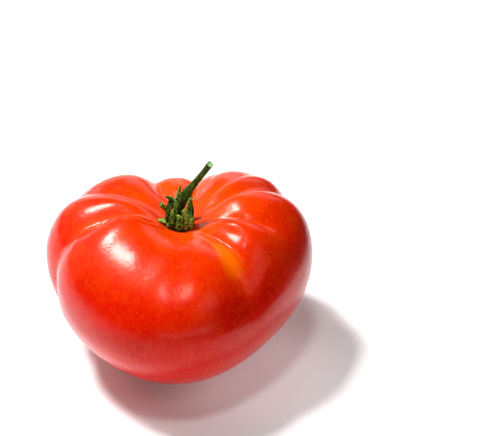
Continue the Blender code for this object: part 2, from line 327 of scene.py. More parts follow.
def sum_folds(tree, azimuth, polar):
    rule = fold_rule()
    total = 0.0
    for start, middle, end, begin, finish, rise, fall, width in FOLDS:
        one = use_rule(tree, rule, azimuth=azimuth, polar=polar, start=float(start), middle=float(middle),
                       end=float(end), begin=float(begin), finish=float(finish),
                       rise=rise * MM, fall=fall * MM, width=width * MM)
        total = calc(tree, "ADD", one, total)
    return total


def wave_rule():
    """One wave round the stem axis."""
    names = ("Azimuth", "Count", "Share", "Crest")
    tree, given, result = new_rule("wave_rule", [(n, FLOAT) for n in names], [("Wave", FLOAT)])
    turned = calc(tree, "RADIANS", calc(tree, "SUBTRACT", given["Azimuth"], given["Crest"]))
    wave = calc(tree, "COSINE", calc(tree, "MULTIPLY", turned, given["Count"]))
    put(tree, result["Wave"], calc(tree, "MULTIPLY", wave, given["Share"]))
    return tree


def sum_waves(tree, rule, table, azimuth):
    total = 1.0
    for count, share, crest in table:
        total = calc(tree, "ADD", use_rule(tree, rule, azimuth=azimuth, count=float(count), share=share, crest=crest), total)
    return total


def sum_pull(tree, azimuth, polar, rounding):
    """All creases less all lobes."""
    crease = crease_rule()
    lobe = lobe_rule()
    total = 0.0
    for centre, depth, width, reach, softness in CREASES:
        one = use_rule(tree, crease, azimuth=azimuth, polar=polar, centre=float(centre), depth=depth,
                       width=float(width), reach=float(reach), softness=float(softness), rounding=rounding)
        total = calc(tree, "ADD", one, total)
    for centre, share, width in LOBES:
        one = use_rule(tree, lobe, azimuth=azimuth, polar=polar, centre=float(centre), share=share, width=float(width))
        total = calc(tree, "SUBTRACT", total, one)
    return calc(tree, "MULTIPLY", total, fade(tree, polar, 8.0, 28.0))


def press_flat(tree, height, blend):
    """Keeps the skin above the resting plane and runs the curve into it softly."""
    low = calc(tree, "MULTIPLY", blend, -1.0)
    held = calc(tree, "MAXIMUM", calc(tree, "MINIMUM", height, blend), low)
    raised = calc(tree, "ADD", held, blend)
    soft = calc(tree, "DIVIDE", calc(tree, "MULTIPLY", raised, raised), calc(tree, "MULTIPLY", blend, 4.0))
    return calc(tree, "ADD", soft, calc(tree, "MAXIMUM", calc(tree, "SUBTRACT", height, blend), 0.0))


def store(tree, geometry, name, value):
    node = tree.nodes.new("GeometryNodeStoreNamedAttribute")
    node.data_type = "FLOAT"
    node.domain = "POINT"
    node.inputs["Name"].default_value = name
    put(tree, node.inputs["Geometry"], geometry)
    put(tree, node.inputs["Value"], value)
    return node.outputs["Geometry"]


def fruit_tree():
    """The whole fruit from a ball: shoulder, hollow, creases, lobes, outline and resting spot."""
    inputs = [(name, FLOAT) for name in FRUIT_SIZES]
    inputs += [("Steps Round", "NodeSocketInt"), ("Steps Down", "NodeSocketInt"), ("Skin", "NodeSocketMaterial")]
    tree, given, result = new_rule("ribbed_fruit", inputs, [("Geometry", "NodeSocketGeometry")])
    ball = tree.nodes.new("GeometryNodeMeshUVSphere")
    put(tree, ball.inputs["Segments"], given["Steps Round"])
    put(tree, ball.inputs["Rings"], given["Steps Down"])
    ball.inputs["Radius"].default_value = 1.0

    place = tree.nodes.new("ShaderNodeSeparateXYZ")
    position = tree.nodes.new("GeometryNodeInputPosition").outputs[0]
    put(tree, place.inputs[0], position)
    x, y, z = place.outputs
    azimuth_angle = calc(tree, "ARCTAN2", y, x)
    across = calc(tree, "SQRT", calc(tree, "ADD", calc(tree, "MULTIPLY", x, x), calc(tree, "MULTIPLY", y, y)))
    polar_angle = calc(tree, "ARCTAN2", across, z)
    azimuth = calc(tree, "DEGREES", azimuth_angle)
    polar = calc(tree, "DEGREES", polar_angle)
    sine = calc(tree, "SINE", polar_angle)
    cosine = calc(tree, "COSINE", polar_angle)
    upper = calc(tree, "GREATER_THAN", cosine, 0.0)

    wave = wave_rule()
    dip_width = calc(tree, "MULTIPLY", given["Dip Width"], sum_waves(tree, wave, DIP_WAVES, azimuth))
    reach = calc(tree, "DIVIDE", calc(tree, "MULTIPLY", given["Radius"], sine), dip_width)
    bell = calc(tree, "EXPONENT", calc(tree, "MULTIPLY", calc(tree, "MULTIPLY", reach, reach), -1.0))
    hollow = calc(tree, "MULTIPLY", given["Dip Depth"], bell)
    lean = calc(tree, "MULTIPLY", calc(tree, "MULTIPLY", calc(tree, "SINE", azimuth_angle), sine), given["Shoulder Tilt"])
    squared = calc(tree, "SUBTRACT", 1.0, calc(tree, "POWER", sine, given["Upper Squareness"]))
    dome = calc(tree, "MULTIPLY", calc(tree, "SQRT", calc(tree, "MAXIMUM", squared, 0.0)), given["Upper Height"])
    dome = calc(tree, "MULTIPLY", dome, calc(tree, "ADD", lean, 1.0))
    high = calc(tree, "SUBTRACT", calc(tree, "ADD", dome, given["Widest Height"]), hollow)
    low = calc(tree, "MULTIPLY", given["Widest Height"], calc(tree, "ADD", cosine, 1.0))
    height = calc(tree, "ADD", low, calc(tree, "MULTIPLY", upper, calc(tree, "SUBTRACT", high, low)))
    lower = calc(tree, "SUBTRACT", 1.0, upper)
    taper = calc(tree, "ADD", 1.0, calc(tree, "MULTIPLY", lower, calc(tree, "SUBTRACT", given["Lower Taper"], 1.0)))
    radius = calc(tree, "MULTIPLY", given["Radius"], calc(tree, "POWER", sine, taper))

    pull = sum_pull(tree, azimuth, polar, given["Crease Rounding"])
    keep = calc(tree, "SUBTRACT", 1.0, pull)
    radius = calc(tree, "MULTIPLY_ADD", calc(tree, "SUBTRACT", radius, given["Core Radius"]), keep, given["Core Radius"])
    height = calc(tree, "MULTIPLY_ADD", calc(tree, "SUBTRACT", height, given["Core Height"]), keep, given["Core Height"])
    outline = calc(tree, "SUBTRACT", sum_waves(tree, wave, OUTLINE_WAVES, azimuth), 1.0)
    outline = calc(tree, "MULTIPLY", outline, fade(tree, polar, 15.0, 60.0))
    radius = calc(tree, "MULTIPLY", radius, calc(tree, "ADD", outline, 1.0))

    uneven = tree.nodes.new("ShaderNodeTexNoise")
    put(tree, uneven.inputs["Vector"], position)
    uneven.inputs["Scale"].default_value = 5.0
    uneven.inputs["Detail"].default_value = 3.0
    swing = calc(tree, "MULTIPLY", calc(tree, "SUBTRACT", uneven.outputs[0], 0.55), given["Skin Waviness"])
    radius = calc(tree, "ADD", radius, calc(tree, "MULTIPLY", swing, calc(tree, "MULTIPLY", sine, 2.0)))

    height = press_flat(tree, calc(tree, "SUBTRACT", height, given["Rest Cut"]), given["Rest Blend"])
    near = calc(tree, "DIVIDE", radius, given["Scar Radius"])
    bowl = calc(tree, "MAXIMUM", calc(tree, "SUBTRACT", 1.0, calc(tree, "MULTIPLY", near, near)), 0.0)
    bowl = calc(tree, "MULTIPLY", calc(tree, "MULTIPLY", bowl, bowl), given["Scar Depth"])
    height = calc(tree, "ADD", height, calc(tree, "MULTIPLY", bowl, lower))

    join = tree.nodes.new("ShaderNodeCombineXYZ")
    flat_x = calc(tree, "MULTIPLY", calc(tree, "COSINE", azimuth_angle), radius)
    flat_y = calc(tree, "MULTIPLY", calc(tree, "SINE", azimuth_angle), radius)
    put(tree, join.inputs[0], calc(tree, "ADD", flat_x, STEM_AXIS.x))
    put(tree, join.inputs[1], calc(tree, "ADD", flat_y, STEM_AXIS.y))
    put(tree, join.inputs[2], height)

    shape = store(tree, ball.outputs["Mesh"], "pull", pull)
    shape = store(tree, shape, "polar", polar)
    shape = store(tree, shape, "turn", azimuth)
    swell_height = calc(tree, "ADD", sum_swells(tree, azimuth, polar), sum_folds(tree, azimuth, polar))
    shape = store(tree, shape, "swell", swell_height)
    move = tree.nodes.new("GeometryNodeSetPosition")
    put(tree, move.inputs["Geometry"], shape)
    put(tree, move.inputs["Position"], join.outputs[0])
    swell = tree.nodes.new("GeometryNodeInputNamedAttribute")
    swell.data_type = "FLOAT"
    swell.inputs["Name"].default_value = "swell"
    outward = tree.nodes.new("ShaderNodeVectorMath")
    outward.operation = "SCALE"
    put(tree, outward.inputs[0], tree.nodes.new("GeometryNodeInputNormal").outputs[0])
    put(tree, outward.inputs["Scale"], swell.outputs["Attribute"])
    rise = tree.nodes.new("GeometryNodeSetPosition")
    put(tree, rise.inputs["Geometry"], move.outputs[0])
    put(tree, rise.inputs["Offset"], outward.outputs[0])
    smooth = tree.nodes.new("GeometryNodeSetShadeSmooth")
    put(tree, smooth.inputs["Geometry"], rise.outputs[0])
    whole = tree.nodes.new("GeometryNodeRealizeInstances")
    put(tree, whole.inputs[0], smooth.outputs[0])
    finish = tree.nodes.new("GeometryNodeSetMaterial")
    put(tree, finish.inputs["Geometry"], whole.outputs[0])
    put(tree, finish.inputs["Material"], given["Skin"])
    put(tree, result["Geometry"], finish.outputs[0])
    return tree


def grow(item, tree, values):
    """Runs a tree on an object and keeps the result as its plain mesh."""
    modifier = item.modifiers.new("grow", "NODES")
    modifier.node_group = tree
    for socket in tree.interface.items_tree:
        if socket.in_out == "INPUT" and socket.name in values:
            modifier[socket.identifier] = values[socket.name]
    bpy.context.view_layer.update()
    view = bpy.context.evaluated_depsgraph_get()
    finished = bpy.data.meshes.new_from_object(item.evaluated_get(view))
    item.modifiers.clear()
    item.data = finished
    return item


def new_object(name, mesh):
    item = bpy.data.objects.new(name, mesh)
    bpy.context.scene.collection.objects.link(item)
    return item


# Materials

def new_material(name):
    made = bpy.data.materials.new(name)
    made.use_nodes = True
    return made, made.node_tree, made.node_tree.nodes["Principled BSDF"].inputs


def texture(tree, kind, scale, stretch=None, **settings):
    """A texture on the piece's own place in metres."""
    node = tree.nodes.new(kind)
    place = tree.nodes.new("ShaderNodeTexCoord").outputs["Object"]
    if stretch:
        mapping = tree.nodes.new("ShaderNodeMapping")
        mapping.inputs["Scale"].default_value = stretch
        put(tree, mapping.inputs["Vector"], place)
        place = mapping.outputs[0]
    put(tree, node.inputs["Vector"], place)
    node.inputs["Scale"].default_value = scale
    for key, value in settings.items():
        if key in ("feature", "distance"):
            setattr(node, key, value)
        else:
            node.inputs[key.title()].default_value = value
    return node.outputs


def attribute(tree, name):
    node = tree.nodes.new("ShaderNodeAttribute")
    node.attribute_name = name
    return node.outputs["Fac"]


def blend_colours(tree, share, first, second):
    node = tree.nodes.new("ShaderNodeMix")
    node.data_type = "RGBA"
    put(tree, node.inputs["Factor"], share)
    for socket, colour in ((node.inputs[6], first), (node.inputs[7], second)):
        if isinstance(colour, tuple):
            colour = (*colour, 1.0)
        put(tree, socket, colour)
    return node.outputs[2]


def bump(tree, height, strength, distance, under=None):
    node = tree.nodes.new("ShaderNodeBump")
    node.inputs["Strength"].default_value = strength
    node.inputs["Distance"].default_value = distance
    put(tree, node.inputs["Height"], height)
    if under:
        put(tree, node.inputs["Normal"], under)
    return node.outputs[0]


def skin_material():
    """Glossy red skin: orange in grooves and round the stem, faint streaks, fine pale specks, and painted shade that
    turns it a deeper, darker red towards the bottom.
    """
    made, tree, shader = new_material("tomato_skin")
    polar = attribute(tree, "polar")
    pull = attribute(tree, "pull")
    patches = texture(tree, "ShaderNodeTexNoise", 38.0, detail=3.0, roughness=0.55)[0]
    colour = blend_colours(tree, fade(tree, patches, 0.35, 0.65), (0.54, 0.0035, 0.0), (0.66, 0.010, 0.0))

    clouds = texture(tree, "ShaderNodeTexNoise", 95.0, detail=4.0, roughness=0.6)[0]
    turn = attribute(tree, "turn")
    back_right = calc(tree, "COSINE", calc(tree, "RADIANS", calc(tree, "SUBTRACT", turn, 30.0)))
    amount = calc(tree, "MULTIPLY_ADD", back_right, 0.10, 0.40)
    round_stem = calc(tree, "MULTIPLY", fade(tree, polar, 12.0, 56.0, 1.0, 0.0), amount)
    grooves = fade(tree, pull, 0.03, 0.15, 0.0, 0.55)
    grooves = calc(tree, "MULTIPLY", grooves, fade(tree, polar, 36.0, 66.0, 1.0, 0.0))
    # In part painted shade: the faint orange over the upper skin and the orange clouds fade out towards the bottom,
    # keeping the lower skin dark red.
    round_stem = calc(tree, "MAXIMUM", round_stem, fade(tree, polar, 36.0, 76.0, 0.14, 0.0))
    ripe = calc(tree, "ADD", calc(tree, "MAXIMUM", round_stem, grooves), calc(tree, "MULTIPLY", fade(tree, clouds, 0.45, 0.75), fade(tree, polar, 50.0, 82.0, 0.22, 0.07)))
    colour = blend_colours(tree, ripe, colour, (0.76, 0.085, 0.0))
    spread = calc(tree, "MULTIPLY_ADD", polar, 0.11, 1.4)
    across = calc(tree, "DIVIDE", calc(tree, "ADD", turn, 54.0), spread)
    down = calc(tree, "DIVIDE", calc(tree, "SUBTRACT", polar, 38.0), 14.0)
    distance = calc(tree, "ADD", calc(tree, "MULTIPLY", across, across), calc(tree, "MULTIPLY", down, down))
    colour = blend_colours(tree, fade(tree, distance, 0.0, 2.2, 0.8, 0.0), colour, (0.80, 0.125, 0.0))
    # Painted shade: deeper, darker red towards the bottom.
    colour = blend_colours(tree, fade(tree, polar, 62.0, 92.0, 0.0, 0.55), colour, (0.55, 0.0015, 0.0))

    streaks = texture(tree, "ShaderNodeTexNoise", 640.0, stretch=(1.0, 1.0, 0.2), detail=3.0)[0]
    colour = blend_colours(tree, fade(tree, streaks, 0.50, 0.72, 0.0, 0.15), colour, (0.74, 0.075, 0.001))
    mottle = texture(tree, "ShaderNodeTexNoise", 620.0, detail=4.0, roughness=0.75)[0]
    # The orange mottles fade out towards the bottom, in part as painted shade.
    colour = blend_colours(tree, calc(tree, "MULTIPLY", fade(tree, mottle, 0.48, 0.70), fade(tree, polar, 55.0, 85.0, 0.16, 0.06)), colour, (0.80, 0.12, 0.003))

    cells = texture(tree, "ShaderNodeTexVoronoi", 780.0, feature="F1")
    dot = fade(tree, cells["Distance"], 0.10, 0.22, 1.0, 0.0)
    chosen = tree.nodes.new("ShaderNodeSeparateColor")
    put(tree, chosen.inputs[0], cells["Color"])
    dot = calc(tree, "MULTIPLY", dot, fade(tree, chosen.outputs[0], 0.25, 0.9))
    colour = blend_colours(tree, calc(tree, "MULTIPLY", dot, 0.42), colour, (0.80, 0.20, 0.01))

    scar = fade(tree, polar, 173.5, 177.5)
    rough_noise = texture(tree, "ShaderNodeTexNoise", 700.0, detail=5.0, roughness=0.7)[0]
    cork = blend_colours(tree, rough_noise, (0.16, 0.075, 0.03), (0.42, 0.27, 0.13))
    scar = calc(tree, "MULTIPLY", scar, fade(tree, calc(tree, "ADD", rough_noise, scar), 0.6, 1.0))
    colour = blend_colours(tree, scar, colour, cork)
    put(tree, shader["Base Color"], colour)

    roughness = fade(tree, patches, 0.3, 0.7, 0.19, 0.235)
    put(tree, shader["Roughness"], calc(tree, "ADD", roughness, calc(tree, "MULTIPLY", scar, 0.5)))
    shader["Subsurface Weight"].default_value = 0.12
    shader["Subsurface Radius"].default_value = (1.0, 0.18, 0.05)
    shader["Subsurface Scale"].default_value = 0.003
    shader["Specular IOR Level"].default_value = 0.24
    shader["Specular Tint"].default_value = (1.0, 0.60, 0.54, 1.0)

    waves = texture(tree, "ShaderNodeTexNoise", 330.0, detail=2.0, roughness=0.5)[0]
    pores = texture(tree, "ShaderNodeTexNoise", 1150.0, detail=3.0)[0]
    shape = bump(tree, waves, 0.8, 0.00008)
    shape = bump(tree, pores, 1.0, 0.000034, shape)
    shape = bump(tree, calc(tree, "MULTIPLY", rough_noise, scar), 0.8, 0.0003, shape)
    put(tree, shader["Normal"], shape)
    return made


def leaf_material(name, dark, mid, pale):
    """Dried green: dark body, paler where the attribute says so, with fine veins and bumps; the attribute's darker
    sepal roots and darkest sepals are in part painted shade.
    """
    made, tree, shader = new_material(name)
    tone = attribute(tree, "pale")
    mottled = texture(tree, "ShaderNodeTexNoise", 1300.0, detail=4.0, roughness=0.75)[0]
    fibres = texture(tree, "ShaderNodeTexNoise", 2600.0, stretch=(1.0, 1.0, 0.14), detail=2.0)[0]
    specks = texture(tree, "ShaderNodeTexVoronoi", 1450.0, feature="F1")["Distance"]
    share = calc(tree, "ADD", tone, calc(tree, "MULTIPLY", calc(tree, "SUBTRACT", mottled, 0.5), 6.4))
    colour = blend_colours(tree, fade(tree, share, 0.05, 0.5), dark, mid)
    colour = blend_colours(tree, fade(tree, share, 0.5, 1.0), colour, pale)
    colour = blend_colours(tree, fade(tree, specks, 0.12, 0.34, 0.9, 0.0), colour, pale)
    colour = blend_colours(tree, fade(tree, fibres, 0.45, 0.7, 0.0, 0.35), colour, mid)
    put(tree, shader["Base Color"], colour)
    put(tree, shader["Roughness"], fade(tree, mottled, 0.3, 0.7, 0.55, 0.75))
    shader["Specular IOR Level"].default_value = 0.1
    shader["Subsurface Weight"].default_value = 0.08
    shader["Subsurface Radius"].default_value = (0.4, 1.0, 0.1)
    shader["Subsurface Scale"].default_value = 0.0006
    shape = bump(tree, fibres, 0.6, 0.00012)
    put(tree, shader["Normal"], bump(tree, mottled, 1.0, 0.00045, shape))
    return made


def hair_material():
    made, tree, shader = new_material("plant_hair")
    tint = texture(tree, "ShaderNodeTexNoise", 1200.0, detail=1.0)[0]
    put(tree, shader["Base Color"], blend_colours(tree, tint, (0.16, 0.22, 0.05), (0.42, 0.46, 0.20)))
    shader["Roughness"].default_value = 0.6
    return made


def floor_material():
    made, tree, shader = new_material("white_floor")
    apart = tree.nodes.new("ShaderNodeVectorMath")
    apart.operation = "LENGTH"
    shift = tree.nodes.new("ShaderNodeMapping")
    shift.inputs["Location"].default_value = (0.05, -0.01, 0.0)
    put(tree, shift.inputs["Vector"], tree.nodes.new("ShaderNodeTexCoord").outputs["Object"])
    put(tree, apart.inputs[0], shift.outputs[0])
    # Painted shade: the floor turns grey away from the fruit, standing in for light falling off, so the skin reflects
    # less bright floor there.
    far = fade(tree, apart.outputs["Value"], 0.15, 0.30)
    apart_xy = tree.nodes.new("ShaderNodeSeparateXYZ")
    put(tree, apart_xy.inputs[0], shift.outputs[0])
    far = calc(tree, "MULTIPLY", far, fade(tree, apart_xy.outputs["Y"], 0.02, 0.16, 1.0, 0.0))
    # Painted shade: the floor is nearly black off to the right, standing in for dark surroundings.
    side = calc(tree, "MULTIPLY_ADD", apart_xy.outputs["Y"], -0.13, apart_xy.outputs["X"])
    side = fade(tree, side, 0.178, 0.205)
    white = blend_colours(tree, far, (0.9, 0.9, 0.9), (0.36, 0.36, 0.36))
    put(tree, shader["Base Color"], blend_colours(tree, side, white, (0.04, 0.04, 0.04)))
    shader["Roughness"].default_value = 0.8
    shader["Specular IOR Level"].default_value = 0.1
    shader["Emission Color"].default_value = (1.0, 1.0, 1.0, 1.0)
    near = tree.nodes.new("ShaderNodeVectorMath")
    near.operation = "DISTANCE"
    put(tree, near.inputs[0], shift.outputs[0])
    near.inputs[1].default_value = (0.085, -0.03, 0.0)
    # Painted light: the floor glows faintly, more far off and most in the fruit's cast shadow near the fruit, standing
    # in for bounce light.
    painted_glow = calc(tree, "MULTIPLY", fade(tree, far, 0.0, 1.0, 0.05, 0.10), calc(tree, "SUBTRACT", 1.0, side))
    painted_glow = calc(tree, "ADD", painted_glow, fade(tree, near.outputs["Value"], 0.012, 0.05, 0.15, 0.0))
    put(tree, shader["Emission Strength"], painted_glow)
    return made


# Fruit

def build_fruit():
    item = new_object("fruit_finished", bpy.data.meshes.new("fruit_finished"))
    skin = skin_material()
    values = dict(FRUIT_SIZES)
    values["Steps Round"] = 400
    values["Steps Down"] = 220
    values["Skin"] = skin
    grow(item, fruit_tree(), values)
    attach(item, "root")
    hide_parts("fruit")
    return item


# Calyx

def waves(table, azimuth):
    total = 1.0
    for count, share, crest in table:
        total += share * math.cos(count * (azimuth - math.radians(crest)))
    return total


def pad_base(azimuth, radius):
    """Height of the pad's underside, just clear of the skin in the hollow."""
    sizes = FRUIT_SIZES
    sine = radius / sizes["Radius"]
    dip = sizes["Dip Depth"] * math.exp(-(radius / (sizes["Dip Width"] * waves(DIP_WAVES, azimuth))) ** 2)
    tilt = 1.0 + sizes["Shoulder Tilt"] * math.sin(azimuth) * sine
    dome = sizes["Upper Height"] * tilt * math.sqrt(1.0 - sine ** sizes["Upper Squareness"])
    return sizes["Widest Height"] + dome - dip - sizes["Rest Cut"] + PAD_GAP


def smooth_mesh(form, name, materials):
    bmesh.ops.recalc_face_normals(form, faces=form.faces)
    for face in form.faces:
        face.smooth = True
    mesh = bpy.data.meshes.new(name)
    form.to_mesh(mesh)
    form.free()
    for one in materials:
        mesh.materials.append(one)
    return mesh


def pad_form(form, pale):
    """The star-edged green pad, its edge drawn out in eight ragged points and drawn in at the front and right."""
    before = set(form.verts)
    bmesh.ops.create_uvsphere(form, u_segments=120, v_segments=24, radius=1.0)
    for vertex in form.verts:
        if vertex in before:
            continue
        level = vertex.co.z
        share = min(math.hypot(vertex.co.x, vertex.co.y), 1.0)
        azimuth = math.atan2(vertex.co.y, vertex.co.x)
        ragged = noise.noise(Vector((vertex.co.x * 5.0, vertex.co.y * 5.0, 3.0)))
        front = 0.5 + 0.5 * math.cos(azimuth - math.radians(-80.0))
        right = max(math.cos(azimuth - math.radians(-15.0)), 0.0)
        star = 1.0 + share * (0.07 * math.cos(PAD_POINTS * azimuth) + 0.06 * ragged - 0.08 * front)
        star -= share * 0.24 * right
        radius = PAD_RADIUS * share * star
        base = pad_base(azimuth, radius)
        ripple = 0.00012 * noise.noise(Vector((vertex.co.x * 14.0, vertex.co.y * 14.0, 8.0)))
        if level >= 0.0:
            height = base + PAD_EDGE + (PAD_THICKNESS - PAD_EDGE) * level + ripple * level
        else:
            height = base + PAD_EDGE * (1.0 + level) ** 2
        vertex.co = STEM_AXIS + Vector((radius * math.cos(azimuth), radius * math.sin(azimuth), height))
        vertex[pale] = 0.05 + 0.55 * (max(share - 0.80, 0.0) / 0.20) * (1.0 - 0.7 * front)


def along(points, share):
    """A smooth line through the points, at a share of the way."""
    last = len(points) - 1
    place = min(share * last, last - 1e-6)
    index = int(place)
    t = place - index
    a = points[max(index - 1, 0)]
    b = points[index]
    c = points[index + 1]
    d = points[min(index + 2, last)]
    result = []
    for p, q, r, s in zip(a, b, c, d):
        value = 2.0 * q + (r - p) * t + (2.0 * p - 5.0 * q + 4.0 * r - s) * t * t
        value += (3.0 * q - p - 3.0 * r + s) * t * t * t
        result.append(0.5 * value)
    return Vector(result)


def sepal_point(path, widths, roll, inward, level_side, share, across, lift, seed):
    """A point of a sepal: share along it, across from -1 to 1, lifted off its middle surface."""
    centre = along(path, share)
    ahead = (along(path, min(share + 0.02, 1.0)) - along(path, max(share - 0.02, 0.0))).normalized()
    side = (level_side - ahead * level_side.dot(ahead)).normalized()
    face = side.cross(ahead)
    half = along([(w, 0.0, 0.0) for w in widths], share).x / 2.0
    twist = 0.7 * noise.noise(Vector((share * 1.8, seed, 2.5))) * share
    side, face = side * math.cos(twist) + face * math.sin(twist), face * math.cos(twist) - side * math.sin(twist)
    wobble = noise.noise(Vector((across * 1.6, share * 8.0, seed)))
    wobble += 0.45 * noise.noise(Vector((across * 4.0, share * 22.0, seed)))
    edge = math.copysign(1.0, across) + seed
    half *= 1.0 + 0.14 * noise.noise(Vector((share * 7.0, edge, 1.0))) + 0.10 * noise.noise(Vector((share * 21.0, edge, 4.0)))
    bend = roll * across * (1.0 + 0.25 * noise.noise(Vector((share * 3.0, seed, 5.0))))
    point = centre + side * (half * math.sin(bend) / roll)
    normal = side * -math.sin(bend) + face * math.cos(bend)
    point += face * (half * (1.0 - math.cos(bend)) / roll)
    ridge = 0.12 * math.exp(-(across / 0.22) ** 2)
    point += normal * (lift + 0.20 * wobble - ridge * (1.0 if lift < 0.0 else 0.3))
    return point * MM + STEM_AXIS


def sepal_form(form, pale, entry, seed):
    """One dried leaf as a closed thin shell with a thinner edge and tip."""
    name, root, path, widths, roll, tone_root, tone_tip = entry
    root_height = pad_base(math.atan2(root[1], root[0]), math.hypot(*root) * MM) + ROOT_RISE
    path = ((*root, root_height / MM),) + path
    inward = Vector((-root[0], -root[1], 0.0)).normalized()
    level_side = Vector((0.0, 0.0, 1.0)).cross(inward)
    layers = []
    for sign in (1.0, -1.0):
        rows = []
        for i in range(SEPAL_ALONG + 1):
            share = i / SEPAL_ALONG
            row = []
            for j in range(SEPAL_ACROSS + 1):
                across = 2.0 * j / SEPAL_ACROSS - 1.0
                thick = 0.30 * (1.0 - 0.45 * across * across) * (1.0 - 0.35 * share)
                place = sepal_point(path, widths, roll, inward, level_side, share, across, sign * thick, seed)
                vertex = form.verts.new(place)
                # Tone from base to tip; the darker bases are in part painted shade. Paler towards the edges and at the
                # very root.
                tone = tone_root + (tone_tip - tone_root) * share
                vertex[pale] = tone + 0.30 * abs(across) ** 4 + (0.2 if share < 0.12 else 0.0)
                row.append(vertex)
            rows.append(row)
        layers.append(rows)
    top, under = layers
    for i in range(SEPAL_ALONG):
        for j in range(SEPAL_ACROSS):
            form.faces.new((top[i][j], top[i][j + 1], top[i + 1][j + 1], top[i + 1][j]))
            form.faces.new((under[i][j], under[i + 1][j], under[i + 1][j + 1], under[i][j + 1]))
    for i in range(SEPAL_ALONG):
        form.faces.new((top[i][0], top[i + 1][0], under[i + 1][0], under[i][0]))
        form.faces.new((top[i][-1], under[i][-1], under[i + 1][-1], top[i + 1][-1]))
    for j in range(SEPAL_ACROSS):
        form.faces.new((top[0][j], under[0][j], under[0][j + 1], top[0][j + 1]))
        form.faces.new((top[-1][j], top[-1][j + 1], under[-1][j + 1], under[-1][j]))


def build_calyx(material):
    form = bmesh.new()
    pale = form.verts.layers.float.new("pale")
    pad_form(form, pale)
    for number, entry in enumerate(SEPALS):
        sepal_form(form, pale, entry, 11.0 + 3.7 * number)
    item = new_object("calyx_finished", smooth_mesh(form, "calyx_finished", [material]))
    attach(item, "root")
    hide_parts("calyx")
    return item


# Stalk

def stalk_form(form, pale, cut):
    """The ridged stalk with its knuckle, and the cut end as a shallow dish."""
    points = [place for place, radius in STALK_POINTS]
    radii = [(radius, 0.0, 0.0) for place, radius in STALK_POINTS]
    side = Vector((1.0, 0.0, 0.0))
    rings = []
    for i in range(STALK_RINGS + 1):
        share = i / STALK_RINGS
        centre = along(points, share)
        ahead = (along(points, min(share + 0.01, 1.0)) - along(points, max(share - 0.01, 0.0))).normalized()
        side = (side - ahead * side.dot(ahead)).normalized()
        other = ahead.cross(side)
        radius = along(radii, share).x
        ring = []
        for j in range(STALK_SIDES):
            angle = 2.0 * math.pi * j / STALK_SIDES
            ridges = 0.035 * math.cos(5.0 * angle + 2.0 * share)
            lumps = 0.06 * noise.noise(Vector((math.cos(angle) * 1.6, math.sin(angle) * 1.6, share * 26.0)))
            lumps += 0.05 * noise.noise(Vector((math.cos(angle) * 6.0, math.sin(angle) * 6.0, share * 95.0)))
            swell = radius * (1.0 + ridges + lumps)
            place = centre + (side * math.cos(angle) + other * math.sin(angle)) * swell
            vertex = form.verts.new(place * MM + STEM_AXIS)
            knuckle = math.exp(-((share - 0.45) / 0.035) ** 2)
            vertex[pale] = 0.22 + 0.15 * knuckle + 0.30 * max(share - 0.9, 0.0) / 0.1
            vertex[cut] = 0.0
            ring.append(vertex)
        rings.append(ring)
    for lower, upper in zip(rings, rings[1:]):
        for j in range(STALK_SIDES):
            k = (j + 1) % STALK_SIDES
            form.faces.new((lower[j], lower[k], upper[k], upper[j]))
    form.faces.new(list(reversed(rings[0])))
    end = rings[-1]
    middle = Vector((0.0, 0.0, 0.0))
    for vertex in end:
        middle += vertex.co
    middle /= len(end)
    for inset, sink in ((0.93, -0.03), (0.84, 0.05), (0.6, 0.10), (0.35, 0.16), (0.15, 0.22)):
        ring = []
        for vertex in rings[-1]:
            fresh = form.verts.new(middle + (vertex.co - middle) * inset - ahead * sink * MM)
            fresh[pale] = 1.0
            fresh[cut] = 1.0 - inset + 0.2
            ring.append(fresh)
        for j in range(STALK_SIDES):
            k = (j + 1) % STALK_SIDES
            form.faces.new((end[j], end[k], ring[k], ring[j]))
        end = ring
    form.faces.new(end)


def stalk_material():
    """Green bark with small warts, paler at the knuckle and near the cut, and a pale cut face with its core."""
    made, tree, shader = new_material("stalk_bark")
    tone = attribute(tree, "pale")
    cut = attribute(tree, "cut")
    mottled = texture(tree, "ShaderNodeTexNoise", 1250.0, detail=4.0, roughness=0.75)[0]
    warts = texture(tree, "ShaderNodeTexVoronoi", 1400.0, feature="F1")["Distance"]
    share = calc(tree, "ADD", tone, calc(tree, "MULTIPLY", calc(tree, "SUBTRACT", mottled, 0.5), 5.8))
    colour = blend_colours(tree, fade(tree, share, 0.0, 0.55), (0.004, 0.014, 0.0), (0.055, 0.130, 0.002))
    colour = blend_colours(tree, fade(tree, warts, 0.12, 0.34, 0.8, 0.0), colour, (0.30, 0.42, 0.05))
    face = blend_colours(tree, fade(tree, cut, 0.35, 0.55), (0.50, 0.72, 0.36), (0.24, 0.42, 0.15))
    face = blend_colours(tree, fade(tree, cut, 0.7, 0.95), face, (0.42, 0.55, 0.30))
    colour = blend_colours(tree, fade(tree, cut, 0.05, 0.2), colour, face)
    put(tree, shader["Base Color"], colour)
    put(tree, shader["Roughness"], fade(tree, mottled, 0.3, 0.7, 0.5, 0.7))
    shader["Specular IOR Level"].default_value = 0.12
    shader["Subsurface Weight"].default_value = 0.08
    shader["Subsurface Radius"].default_value = (0.4, 1.0, 0.1)
    shader["Subsurface Scale"].default_value = 0.0006
    shape = bump(tree, fade(tree, warts, 0.05, 0.4, 1.0, 0.0), 0.6, 0.00018)
    put(tree, shader["Normal"], bump(tree, mottled, 0.9, 0.0004, shape))
    return made


def build_stalk(material):
    form = bmesh.new()
    pale = form.verts.layers.float.new("pale")
    cut = form.verts.layers.float.new("cut")
    stalk_form(form, pale, cut)
    item = new_object("stalk_finished", smooth_mesh(form, "stalk_finished", [material]))
    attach(item, "root")
    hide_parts("stalk")
    return item


# Hairs on the green pieces

